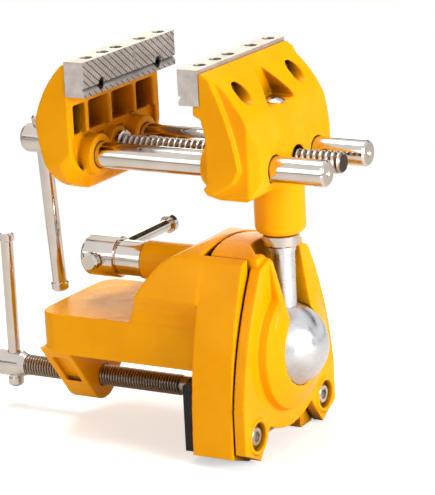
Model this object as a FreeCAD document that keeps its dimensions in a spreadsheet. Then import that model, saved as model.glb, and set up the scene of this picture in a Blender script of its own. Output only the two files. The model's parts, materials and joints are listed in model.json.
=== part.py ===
import FreeCAD, Part
import Sketcher
import math
import os

# Ball vise: a clamp-on base holds a ball between its column and a hinged cover, and the ball's stem
# carries the jaws. X runs along the guide rods towards the cover, Y across the jaws, Z up. The origin
# is the middle of the bench pad's face. Shapes are drawn about the ball's centre, in millimetres.

SIZES = {
    # where the ball sits from the bench pad's face
    "ball_reach": 30.5, "ball_height": 26.5,
    # running, sliding and free clearances
    "running_gap": 0.05, "slide_gap": 0.15, "free_gap": 0.3, "cover_gap": 1.0,
    # ball, seat and stem
    "ball_radius": 20, "ball_fit": 0.1, "relief_fit": 0.45, "seat_radius": 15, "seat_bore": 9,
    "seat_back": 21, "stem_radius": 6, "stem_spigot": 5, "spigot_depth": 11, "ring_radius": 6.6,
    "ring_length": 2.4, "collar_radius": 8.6, "collar_length": 5.7, "post_height": 53,
    "tenon_gap": 3.7,
    # base column
    "column_front": 5, "column_back": 26.1, "foot_half": 44, "foot_outer_height": 42.5,
    "foot_inner_half": 30, "foot_height": 47.5, "waist_half": 43, "waist_height": 20,
    "shoulder_half": 27.5, "shoulder_height": 44.5, "side_curve": 200, "crown_rise": 3.9,
    "dome_end": 65, "dome_knee": 47.5, "dome_knee_height": 41.5, "dome_crest": 50, "dome_low_curve": 80,
    "dome_high_curve": 60, "dome_low_half": 34.8, "dome_low": 26, "dome_skirt": 19,
    "arch_radius": 38.6, "arch_half": 20, "arch_depth": 11,
    # arm, hook and screw bosses
    "arm_end": 115, "arm_half": 31, "arm_top": 12, "arm_bottom": 7.5, "arm_corner": 9,
    "hook_length": 15.5, "hook_radius": 11.5, "hook_rim": 3.5,
    "hook_recess_top": 11, "hook_recess_low": 26, "hook_recess_wide": 23, "hook_recess_narrow": 11.5,
    "boss_radius": 9.3, "boss_end": 71.2,
    # bench pad
    "pad_thick": 4.4, "pad_half": 42.6, "pad_top": 10.5, "pad_edge": 1,
    # ball cover
    "flange_back": 4, "flange_front": 1.5, "horn_half": 14.5, "horn_height": 44.6,
    "horn_outer_half": 22.5, "horn_outer_height": 41.8, "flange_half": 43.5, "flange_waist": 19,
    "flange_curve": 160, "flange_foot": 40, "dish_radius": 30, "dish_step_radius": 29.2,
    "dish_step": 4.5, "dish_front": 9.5, "dish_rim": 2.2, "slot_low_half": 10, "slot_low": 14,
    "slot_high_half": 13.2, "slot_high": 46, "horn_rim_front": 7.8, "horn_rim_half": 15.4,
    "horn_rim_slant": 7.6, "key_back": 27.4, "key_half": 21.5,
    "key_low": 21, "key_edge": 45.8, "key_rise": 2.6, "key_gap": 1.2, "key_back_rise": 2.9,
    "key_slant_back": 10, "pocket_floor": 18,
    "key_slot_depth": 11.8,
    "key_slot_back": 7.5, "key_slot_front": 16.8, "foot_screw_half": 32.5, "foot_screw_low": 34,
    "foot_screw_radius": 3, "foot_head_radius": 4.6, "foot_head_top": 1.2, "foot_seat": 2,
    "foot_land_radius": 8.4, "foot_screw_length": 16,
    # lock screw
    "lock_height": 33.3, "lock_radius": 5, "lock_play": 0.6, "lock_hub_radius": 9.8,
    "lock_hub_end": 104.6, "lock_neck_start": 85.1, "lock_neck_radius": 8.3, "lock_washer_radius": 9,
    "lock_washer_thick": 1.2, "lock_bar_place": 95.5, "lock_bar_radius": 2.9, "lock_hole_play": 0.6,
    "lock_bar_low": 14.5, "lock_bar_high": 62.5, "lock_cap_radius": 4.4, "lock_end": 12.6,
    # clamp screw
    "clamp_height": 26.5, "clamp_radius": 5, "clamp_hub_radius": 6.4, "clamp_hub_end": 159.5,
    "clamp_hub_start": 146, "clamp_end": 51, "clamp_tip_radius": 4.6, "clamp_nose_radius": 2.5,
    "clamp_tip_length": 4.5, "clamp_bar_place": 151, "clamp_bar_radius": 3, "clamp_bar_low": 11.1,
    "clamp_bar_high": 66, "clamp_cap_radius": 3.8,
    # jaw plates
    "jaw_half": 40, "jaw_top": 134.5, "plate_height": 16.2, "plate_thick": 10.2, "fixed_grip": 26.2,
    "moving_grip": 75, "groove_height": 122.2, "groove_depth": 1.4, "groove_lip": 0.4,
    "upright_half": 0.7, "groove_place": 4,
    "peg_radius": 3, "peg_depth": 9, "plate_screw_half": 24.8, "plate_screw_radius": 2,
    "plate_head_radius": 3.7, "sink_head_radius": 2.8, "plate_head_thick": 3.2, "plate_screw_reach": 7,
    # guide rods and lead screw
    "rod_half": 20, "rod_height": 87.7, "rod_radius": 6, "rod_end": 35.9, "rod_start": 96,
    "rod_chamfer": 0.9, "rod_mark": 1.6, "lead_radius": 5, "lead_end": 33.4, "lead_hub_end": 135.7,
    "lead_hub_radius": 7, "lead_hub_start": 103.6, "lead_collar_radius": 6.9, "lead_collar_thick": 3.2,
    "lead_collar_place": 83.2, "nut_radius": 8, "nut_back": 14.5, "nut_front": 5, "lead_exit": 6.6,
    "main_bar_place": 126, "main_bar_radius": 3.5, "main_bar_low": 76.5, "main_bar_high": 11.8,
    "main_cap_radius": 4.3, "main_bar_lean": 5, "cap_length": 4.4,
    # fixed jaw casting
    "casting_half": 39.6, "casting_top": 132.8, "ledge_reach": 3.5, "ledge_low": 113.8,
    "neck_low": 112.3, "skirt_high": 80.5, "skirt_low": 77.4, "fixed_bottom": 75.3,
    "outer_face": 9.8, "outer_high": 96, "outer_curve": 51, "taper_start": 2,
    "taper_half": 33, "side_recess": 2.8, "bead_top": 11.8, "bead_low": 2.1,
    "bead_low_height": 90, "bead_curve": 120, "fixed_low_half": 33, "fixed_round_top": 85,
    "fixed_round": 14,
    "post_radius": 11.7, "post_round": 4, "notch_half": 12.5, "notch_floor": 113.5,
    "notch_peak": 133.5, "notch_back": 9, "rod_boss_radius": 10.3, "rod_boss_reach": 23,
    "fixed_screw_seat": 11, "scoop_radius": 4.7, "scoop_drop": 0.5, "strip_half": 9,
    "nut_bolt_radius": 2.5, "nut_bolt_head": 4.6, "nut_bolt_head_thick": 2,
    # moving jaw casting
    "moving_front": 85, "moving_back": 103, "moving_back_high": 106, "moving_curve": 54,
    "moving_waist": 99, "moving_waist_height": 85, "moving_toe": 95, "moving_bottom": 72.2,
    "shield_half": 23.5, "shield_high": 92, "shield_low": 78.8, "shield_curve": 20,
    "shield_drop": 6, "shield_bevel": 6, "wall": 5, "rib_thick": 2.6,
    "shelf_thick": 3.5, "pocket_high": 113, "pocket_depth": 12, "lower_pocket_fall": 9.7,
    "lower_pocket_rise": 7.3, "lower_pocket_shallow": 3.2, "lower_pocket_core": 11.5,
    "lower_rim": 3.2, "lower_pocket_depth": 4.2, "moving_boss_reach": 4.2,
    "back_boss_end": 103.3, "back_boss_radius": 8.6, "moving_boss_radius": 9.6, "moving_screw_end": 92.5,
    "countersink": 2.4,
}

PEG_PLACES = {"peg_one": -28.9, "peg_two": -15.2, "peg_three": -3.6, "peg_four": 17.3, "peg_five": 34}
RIB_PLACES = {"rib_one": -23.2, "rib_two": -3, "rib_three": 18.5}


class Size:
    """A size that keeps its present value beside the sheet formula that gives it."""

    def __init__(self, value, formula):
        self.value = value
        self.formula = formula

    def __add__(self, other):
        other = size(other)
        return Size(self.value + other.value, f"({self.formula} + {other.formula})")

    def __sub__(self, other):
        other = size(other)
        return Size(self.value - other.value, f"({self.formula} - {other.formula})")

    def __mul__(self, other):
        other = size(other)
        return Size(self.value * other.value, f"({self.formula} * {other.formula})")

    def __truediv__(self, other):
        other = size(other)
        return Size(self.value / other.value, f"({self.formula} / {other.formula})")

    def __neg__(self):
        return Size(-self.value, f"(0 - {self.formula})")

    def __radd__(self, other):
        return size(other) + self

    def __rsub__(self, other):
        return size(other) - self

    def __rmul__(self, other):
        return size(other) * self

    def root(self):
        return Size(math.sqrt(self.value), f"sqrt({self.formula})")


def size(number):
    """Return a plain number as a Size."""
    if isinstance(number, Size):
        return number
    return Size(float(number), repr(float(number)))


def arc_radius(half, rise):
    """Radius of the arc that rises by rise over a chord of twice half."""
    return (half * half + rise * rise) / (2 * rise)


def chord_height(radius, half):
    """Distance from a circle's centre to its chord of twice half."""
    return (radius * radius - half * half).root()


doc = FreeCAD.newDocument("ball_vise")
sheet = doc.addObject("Spreadsheet::Sheet", "sizes")
all_sizes = dict(SIZES)
all_sizes.update(PEG_PLACES)
all_sizes.update(RIB_PLACES)
for row, (alias, value) in enumerate(all_sizes.items(), 1):
    sheet.set(f"A{row}", alias)
    sheet.set(f"B{row}", str(value))
    sheet.setAlias(f"B{row}", alias)
doc.recompute()


def dim(alias):
    """Return a sheet size by its alias."""
    return Size(float(all_sizes[alias]), f"sizes.{alias}")


ZERO = size(0)
FAR = size(200)
PLANES = {"XY": "xyz", "XZ": "xzy", "YZ": "yzx"}
pieces = []


def mirrored(corners):
    """Mirror an outline across its first axis's zero line, keeping its turning direction."""
    turned_round = []
    for index in range(len(corners) - 1, -1, -1):
        across, up = corners[index][:2]
        arc = corners[index - 1][2:]
        turned_round.append((-size(across), up) + arc)
    return turned_round


def flipped(corners):
    """Mirror an outline across its second axis's zero line, keeping its turning direction."""
    turned_round = []
    for index in range(len(corners) - 1, -1, -1):
        across, up = corners[index][:2]
        arc = corners[index - 1][2:]
        turned_round.append((across, -size(up)) + arc)
    return turned_round


def facing_of(plane):
    """Way in which a plane's own normal points along its axis: 1 or -1."""
    return -1 if plane == "XZ" else 1


class Piece:
    """One solid of the vise: a body whose own origin lies at centre, measured from the ball."""

    def __init__(self, name, centre=(0, 0, 0), axis=(0, 0, 1), angle=ZERO):
        self.body = doc.addObject("PartDesign::Body", name)
        self.body.Label = name
        self.centre = dict(zip("xyz", [size(place) for place in centre]))
        self.count = 0
        at = (self.centre["x"] + dim("ball_reach"), self.centre["y"],
              self.centre["z"] + dim("ball_height"))
        turn = FreeCAD.Rotation(FreeCAD.Vector(*axis), angle.value)
        self.body.Placement = FreeCAD.Placement(FreeCAD.Vector(*[place.value for place in at]), turn)
        for letter, place in zip("xyz", at):
            self.body.setExpression(f"Placement.Base.{letter}", place.formula)
        if angle.value:
            self.body.setExpression("Placement.Rotation.Angle", angle.formula)
        pieces.append(self.body)

    def sketch(self, plane, level):
        """Start a sketch on one of the body's planes, moved along that plane's normal axis."""
        across, up, normal = PLANES[plane]
        role = f"{plane}_Plane"
        self.count += 1
        sketch = self.body.newObject("Sketcher::SketchObject", f"{self.body.Name}_outline_{self.count}")
        flat = [feature for feature in self.body.Origin.OriginFeatures if feature.Role == role][0]
        sketch.AttachmentSupport = [(flat, "")]
        sketch.MapMode = "FlatFace"
        offset = (size(level) - self.centre[normal]) * facing_of(plane)
        sketch.AttachmentOffset = FreeCAD.Placement(FreeCAD.Vector(0, 0, offset.value), FreeCAD.Rotation())
        sketch.setExpression("AttachmentOffset.Base.z", offset.formula)
        return sketch, self.centre[across], self.centre[up]

    def hold(self, sketch, kind, places, amount):
        """Add one dimension to a sketch and bind it to its formula."""
        index = sketch.addConstraint(Sketcher.Constraint(kind, *places, amount.value))
        sketch.setExpression(f"Constraints[{index}]", amount.formula)

    def outline(self, plane, level, corners):
        """Draw a closed outline. A corner is (across, up) or (across, up, arc), where arc is the
        radius of the edge that leaves it, positive where that edge bulges to the right."""
        sketch, left, low = self.sketch(plane, level)
        points = [(size(corner[0]) - left, size(corner[1]) - low) for corner in corners]
        ends = []
        for index, corner in enumerate(corners):
            start = FreeCAD.Vector(points[index][0].value, points[index][1].value, 0)
            finish_point = points[(index + 1) % len(points)]
            finish = FreeCAD.Vector(finish_point[0].value, finish_point[1].value, 0)
            if len(corner) == 2:
                sketch.addGeometry(Part.LineSegment(start, finish))
                ends.append((1, 2))
                continue
            bulge = size(corner[2]).value
            chord = finish - start
            lift = math.sqrt(max(bulge * bulge - chord.Length ** 2 / 4, 0)) * math.copysign(1, bulge)
            side = FreeCAD.Vector(-chord.y, chord.x, 0) / chord.Length
            middle = (start + finish) / 2 + side * lift
            first, last = (start, finish) if bulge > 0 else (finish, start)
            first_angle = math.atan2(first.y - middle.y, first.x - middle.x)
            last_angle = math.atan2(last.y - middle.y, last.x - middle.x)
            circle = Part.Circle(middle, FreeCAD.Vector(0, 0, 1), abs(bulge))
            sketch.addGeometry(Part.ArcOfCircle(circle, first_angle, last_angle))
            ends.append((1, 2) if bulge > 0 else (2, 1))
        for index in range(len(corners)):
            following = (index + 1) % len(corners)
            joint = (index, ends[index][1], following, ends[following][0])
            sketch.addConstraint(Sketcher.Constraint("Coincident", *joint))
        for index, corner in enumerate(corners):
            place = (-1, 1, index, ends[index][0])
            self.hold(sketch, "DistanceX", place, points[index][0])
            self.hold(sketch, "DistanceY", place, points[index][1])
            if len(corner) == 3:
                arc = size(corner[2])
                self.hold(sketch, "Radius", (index,), arc if arc.value > 0 else -arc)
        return sketch

    def circles(self, plane, level, centres, radius):
        """Draw circles of one radius about the given centres."""
        sketch, left, low = self.sketch(plane, level)
        for index, (across, up) in enumerate(centres):
            across, up = size(across) - left, size(up) - low
            middle = FreeCAD.Vector(across.value, up.value, 0)
            sketch.addGeometry(Part.Circle(middle, FreeCAD.Vector(0, 0, 1), radius.value))
            self.hold(sketch, "DistanceX", (-1, 1, index, 3), across)
            self.hold(sketch, "DistanceY", (-1, 1, index, 3), up)
            self.hold(sketch, "Radius", (index,), radius)
        return sketch

    def feature(self, kind, sketch):
        feature = self.body.newObject(f"PartDesign::{kind}", f"{self.body.Name}_{kind.lower()}_{self.count}")
        feature.Profile = sketch
        return feature

    def extruded(self, kind, plane, sketch, start, stop):
        """Run a pad or pocket along the plane's axis, from start to stop."""
        feature = self.feature(kind, sketch)
        length = size(stop) - size(start)
        facing = facing_of(plane) * math.copysign(1, length.value)
        feature.Reversed = (facing < 0) if kind == "Pad" else (facing > 0)
        length = length if length.value > 0 else -length
        feature.Length = length.value
        feature.setExpression("Length", length.formula)
        self.settle(feature, kind == "Pocket")
        return feature

    def settle(self, feature, cutting):
        """Recompute, and stop if a cut has taken nothing away."""
        before = feature.BaseFeature.Shape.Volume if feature.BaseFeature else 0
        doc.recompute()
        if cutting and not feature.Shape.Volume < before:
            raise RuntimeError(f"{feature.Name} removes nothing")

    def pad(self, plane, start, stop, corners):
        return self.extruded("Pad", plane, self.outline(plane, start, corners), start, stop)

    def pocket(self, plane, start, stop, corners):
        return self.extruded("Pocket", plane, self.outline(plane, start, corners), start, stop)

    def round_pad(self, plane, start, stop, centres, radius):
        return self.extruded("Pad", plane, self.circles(plane, start, centres, radius), start, stop)

    def round_pocket(self, plane, start, stop, centres, radius):
        return self.extruded("Pocket", plane, self.circles(plane, start, centres, radius), start, stop)

    def spun(self, kind, axis, corners, plane="XZ"):
        """Turn an outline about the H (across) or V (up) line through the body's own origin."""
        sketch = self.outline(plane, self.centre[PLANES[plane][2]], corners)
        feature = self.feature(kind, sketch)
        feature.ReferenceAxis = (sketch, [f"{axis}_Axis"])
        feature.Angle = 360
        self.settle(feature, kind == "Groove")
        return feature

    def turn(self, axis, corners, plane="XZ"):
        return self.spun("Revolution", axis, corners, plane)

    def bore(self, axis, corners, plane="XZ"):
        return self.spun("Groove", axis, corners, plane)

    def cone_pocket(self, start, stop, middle, wide, narrow):
        """Cut a cone on the X direction from a wide circle at start to a narrow one at stop."""
        first = self.circles("YZ", start, [middle], wide)
        last = self.circles("YZ", stop, [middle], narrow)
        feature = self.feature("SubtractiveLoft", first)
        feature.Sections = [last]
        self.settle(feature, True)
        return feature

    def loft_pocket(self, plane, start, stop, first_corners, last_corners):
        """Cut between an outline at start and another at stop."""
        first = self.outline(plane, start, first_corners)
        last = self.outline(plane, stop, last_corners)
        feature = self.feature("SubtractiveLoft", first)
        feature.Sections = [last]
        self.settle(feature, True)
        return feature

    def hexagon(self, plane, start, stop, across_flats):
        """Cut a hexagon socket on the body's own axis."""
        flat = across_flats / 2
        point = flat * 2 / size(3).root()
        across, up, normal = PLANES[plane]
        left, low = self.centre[across], self.centre[up]
        corners = [(left + point, low), (left + point / 2, low + flat), (left - point / 2, low + flat),
                   (left - point, low), (left - point / 2, low - flat), (left + point / 2, low - flat)]
        return self.pocket(plane, start, stop, corners)


def box(left, right, low, high):
    """Corners of an upright rectangle."""
    return [(left, low), (right, low), (right, high), (left, high)]


def column_outline():
    """The column seen from the ball's side: slanted feet, curved flanks and a crowned top."""
    half = [(dim("foot_inner_half"), -dim("foot_height")), (dim("foot_half"), -dim("foot_outer_height")),
            (dim("waist_half"), -dim("waist_height"), dim("side_curve"))]
    crown = arc_radius(dim("shoulder_half"), dim("crown_rise"))
    return half + [
        (dim("shoulder_half"), dim("shoulder_height"), crown),
        (-dim("shoulder_half"), dim("shoulder_height"), dim("side_curve")),
        (-dim("waist_half"), -dim("waist_height")),
        (-dim("foot_half"), -dim("foot_outer_height")),
        (-dim("foot_inner_half"), -dim("foot_height"))]


def make_base_casting():
    base = Piece("base_casting")
    front, back = -dim("column_front"), -dim("column_back")
    arm_end, arm_half = -dim("arm_end"), dim("arm_half")
    arm_low, arm_top = -dim("arm_bottom"), dim("arm_top")
    base.pad("YZ", back, front, column_outline())
    corner = dim("arm_corner")
    base.pad("XY", arm_low, arm_top, [
        (back, -arm_half), (back, arm_half), (arm_end + corner, arm_half, corner),
        (arm_end, arm_half - corner), (arm_end, corner - arm_half, corner),
        (arm_end + corner, -arm_half)])
    # the shoulder keeps the column's outline and comes down to the arm in two rounds
    end, knee, knee_height = -dim("dome_end"), -dim("dome_knee"), dim("dome_knee_height")
    crown = arc_radius(dim("shoulder_half"), dim("crown_rise"))
    side = [(arm_half - 0.5, arm_top - 1), (arm_half - 0.5, dim("dome_skirt")),
            (dim("dome_low_half"), dim("dome_low"), dim("side_curve"))]
    base.pad("YZ", end, back, side + [
        (dim("shoulder_half"), dim("shoulder_height"), crown),
        (-dim("shoulder_half"), dim("shoulder_height"), dim("side_curve")),
        (-dim("dome_low_half"), dim("dome_low")), (0.5 - arm_half, dim("dome_skirt")),
        (0.5 - arm_half, arm_top - 1)])
    crest = dim("dome_crest")
    base.pocket("XZ", -dim("waist_half"), dim("waist_half"), [
        (end - 5, arm_top), (end, arm_top, -dim("dome_low_curve")),
        (knee, knee_height, -dim("dome_high_curve")), (back, crest), (back, crest + 10),
        (end - 5, crest + 10)])
    hook_right = arm_end + dim("hook_length")
    radius, axis_low = dim("hook_radius"), -dim("clamp_height")
    reach = radius * 0.87
    drop = axis_low - chord_height(radius, reach)
    hook_top = arm_low + 2
    base.pad("YZ", arm_end, hook_right, [
        (-reach, drop, radius), (reach, drop), (arm_half, hook_top), (-arm_half, hook_top)])
    rim = dim("hook_rim")
    top, low = -dim("hook_recess_top"), -dim("hook_recess_low")
    recess = [(dim("hook_recess_narrow"), low), (FAR, low), (FAR, top), (dim("hook_recess_wide"), top)]
    for sides in (recess, mirrored(recess)):
        base.pocket("YZ", arm_end + rim, hook_right - rim, sides)
    lock = [(ZERO, dim("lock_height"))]
    base.round_pad("YZ", -dim("boss_end"), back, lock, dim("boss_radius"))
    # pocket that the cover's key drops into, and the ball's seat below it
    key_back = -dim("key_back") - dim("key_gap")
    key_half = dim("key_half") + dim("key_gap")
    pocket_low = dim("pocket_floor")
    base.pocket("YZ", key_back, front, box(-key_half, key_half, pocket_low, FAR))
    relief = dim("ball_radius") + dim("relief_fit")
    seat_hole = dim("seat_radius") + dim("running_gap")
    mouth = chord_height(relief, dim("column_front"))
    shelf = chord_height(relief, seat_hole)
    base.bore("H", [
        (-dim("seat_back"), ZERO), (FAR / 8, ZERO), (FAR / 8, mouth), (front, mouth, relief),
        (-shelf, seat_hole), (-dim("seat_back"), seat_hole)])
    base.round_pocket("YZ", -FAR, front, lock, dim("lock_radius") + dim("slide_gap"))
    # arch between the feet, cut only into the front of the column
    arch = dim("arch_radius")
    spring = -chord_height(arch, dim("arch_half"))
    base.pocket("YZ", front - dim("arch_depth"), front, [
        (-dim("arch_half"), -FAR), (dim("arch_half"), -FAR), (dim("arch_half"), spring, -arch),
        (-dim("arch_half"), spring)])
    screws = [(side * dim("foot_screw_half"), -dim("foot_screw_low")) for side in (-1, 1)]
    screw_end = -dim("foot_seat") - dim("foot_screw_length") - dim("free_gap")
    base.round_pocket("YZ", screw_end, front, screws, dim("foot_screw_radius") + dim("running_gap"))
    base.round_pocket("YZ", arm_end - 1, hook_right + 1, [(ZERO, axis_low)],
                      dim("clamp_radius") + dim("running_gap"))


def make_bench_pad():
    pad = Piece("bench_pad")
    back = -dim("column_back")
    half, top, edge = dim("pad_half"), -dim("pad_top"), dim("pad_edge")
    inner, low = dim("foot_inner_half"), edge - dim("foot_height")
    corner = edge - dim("foot_outer_height")
    pad.pad("YZ", back - dim("pad_thick"), back, [
        (-inner, low), (inner, low), (half, corner), (half, top), (-half, top), (-half, corner)])


def make_cover_screws():
    seat = -dim("foot_seat") + dim("free_gap")
    for side, word in ((-1, "near"), (1, "far")):
        screw = Piece(f"cover_screw_{word}", (0, side * dim("foot_screw_half"), -dim("foot_screw_low")))
        low = -dim("foot_screw_low")
        shank, head, top = dim("foot_screw_radius"), dim("foot_head_radius"), dim("foot_head_top")
        end = -dim("foot_seat") - dim("foot_screw_length")
        screw.turn("H", [
            (end, low), (seat, low), (top, low), (top, low + head - 0.6), (top - 0.6, low + head),
            (seat, low + head), (seat, low + shank), (end + 1, low + shank), (end, low + shank - 1)])
        screw.hexagon("YZ", top - 2.2, top, head)


def make_ball_cover():
    cover = Piece("ball_cover")
    back, front = -dim("flange_back"), dim("flange_front")
    half = [(dim("foot_inner_half"), -dim("foot_height") + 1), (dim("flange_half"), -dim("flange_foot")),
            (dim("flange_half"), -dim("flange_waist"), dim("flange_curve")),
            (dim("horn_outer_half"), dim("horn_outer_height")), (dim("horn_half"), dim("horn_height"))]
    arch = dim("arch_radius")
    spring = -chord_height(arch, dim("arch_half"))
    other = [(-across, up) for across, up in [corner[:2] for corner in reversed(half)]]
    other[1] = other[1] + (dim("flange_curve"),)
    cover.pad("YZ", back, front, half + other + [
        (-dim("arch_half"), spring, arch), (dim("arch_half"), spring)])
    lands = [(side * dim("foot_screw_half"), -dim("foot_screw_low")) for side in (-1, 1)]
    cover.round_pad("YZ", back, front + 1.2, lands, dim("foot_land_radius"))
    rim_half, rim_front = dim("horn_rim_half"), dim("horn_rim_front")
    rim = [(dim("slot_low_half") - 2, dim("slot_low")), (dim("dish_radius") - 8, dim("slot_low")),
           (rim_half, dim("slot_low") + 10), (rim_half, dim("horn_height") - 1.2),
           (dim("horn_half") - 5, dim("horn_height") - 1.2)]
    for sides in (rim, mirrored(rim)):
        cover.pad("YZ", back, rim_front, sides)
    key_half, key_edge = dim("key_half"), dim("key_edge")
    cover.pad("YZ", -dim("key_back"), back + 3, [
        (-key_half, dim("key_low")), (key_half, dim("key_low")),
        (key_half, key_edge, arc_radius(key_half, dim("key_rise"))), (-key_half, key_edge)])
    key_back, wide = -dim("key_back"), key_half + 1
    shy = key_back + dim("key_back_rise")
    cover.pocket("XY", dim("key_low") - 1, FAR, [
        (key_back - 3, -wide), (shy, -wide, -arc_radius(wide, dim("key_back_rise"))), (shy, wide),
        (key_back - 3, wide)])
    slant_back, slant_high = -dim("key_slant_back"), dim("key_edge") + dim("key_rise") + 0.6
    cover.pocket("XZ", -wide, wide, [
        (slant_back, slant_high), (3, dim("horn_height") - 0.8), (12, dim("horn_height") - 0.8),
        (12, slant_high + 5), (slant_back, slant_high + 5)])
    # the dished ring that reaches round the front of the ball
    cover.turn("H", [
        (back + 1, dim("dish_step_radius") - 8), (back + 1, dim("dish_radius")),
        (front, dim("dish_radius")), (front + dim("dish_step"), dim("dish_step_radius")),
        (dim("dish_front"), dim("ball_radius") + dim("dish_rim") - 2.4),
        (dim("dish_front"), dim("dish_step_radius") - 14)])
    bite, lip = dim("ball_radius") + dim("ball_fit"), dim("dish_front")
    relief = dim("ball_radius") + dim("relief_fit")
    lip_radius = chord_height(bite, lip)
    cover.bore("H", [
        (back - 2, ZERO), (lip + 4, ZERO), (lip + 4, lip_radius), (lip, lip_radius, bite),
        (ZERO, bite), (ZERO, relief), (back - 2, relief)])
    # the rim beside the slot leans back towards the top of the horns
    low, high = dim("slot_low"), dim("slot_high")
    cover.pocket("XZ", -rim_half - 0.6, rim_half + 0.6, [
        (rim_front + 1.8, low - 2), (FAR / 4, low - 2), (FAR / 4, FAR / 2), (front - 2, FAR / 2),
        (rim_front + 1.8 - dim("horn_rim_slant"), high)])
    # stem slot: a V between the horns, and a round-backed notch in the key behind them
    low_half, high_half = dim("slot_low_half"), dim("slot_high_half")
    cover.pocket("YZ", back, lip + 4, [
        (-low_half, dim("slot_low")), (low_half, dim("slot_low")), (high_half, dim("slot_high")),
        (high_half, FAR), (-high_half, FAR), (-high_half, dim("slot_high"))])
    deep, narrow, wide = -dim("key_slot_depth"), dim("key_slot_back"), dim("key_slot_front")
    cover.pocket("XY", dim("ball_radius") - 2, FAR, [
        (deep, -narrow), (back + 0.01, -wide), (back + 0.01, wide), (deep, narrow)])
    cover.round_pocket("YZ", -dim("key_back") - 1, back, [(ZERO, dim("lock_height"))],
                       dim("lock_radius") + dim("lock_play"))
    cover.round_pocket("YZ", -dim("foot_seat"), front + 2, lands, dim("foot_head_radius") + 2)
    cover.round_pocket("YZ", back - 1, front + 2, lands, dim("foot_screw_radius") + dim("lock_play"))


tenon_top = dim("rod_height") - dim("nut_radius") - dim("tenon_gap")


def make_ball_seat():
    seat = Piece("ball_seat")
    bite, bore, ring, back = dim("ball_radius") + dim("ball_fit"), dim("seat_bore"), \
        dim("seat_radius"), -dim("seat_back")
    seat.turn("H", [(back + 0.1, bore), (-chord_height(bite, bore), bore, -bite),
                    (-chord_height(bite, ring), ring), (back + 0.1, ring)])


def make_ball_and_stem():
    ball = Piece("ball_and_stem")
    radius, stem, ring = dim("ball_radius"), dim("stem_radius"), dim("ring_radius")
    spigot, collar = dim("stem_spigot"), dim("post_height") - dim("collar_length")
    ledge = collar - dim("ring_length")
    ball.turn("V", [
        (ZERO, -radius, radius), (stem, chord_height(radius, stem)), (stem, ledge),
        (ring, ledge), (ring, collar), (spigot, collar),
        (spigot, tenon_top - 1), (spigot - 1, tenon_top), (ZERO, tenon_top)])
    nut = Piece("stem_collar", (0, 0, collar))
    radius, low = dim("collar_radius"), collar
    high = dim("post_height") - dim("free_gap")
    nut.turn("V", [(spigot, low), (radius - 0.8, low), (radius, low + 0.8), (radius, high - 0.4),
                   (radius - 0.4, high), (spigot, high)])


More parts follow.
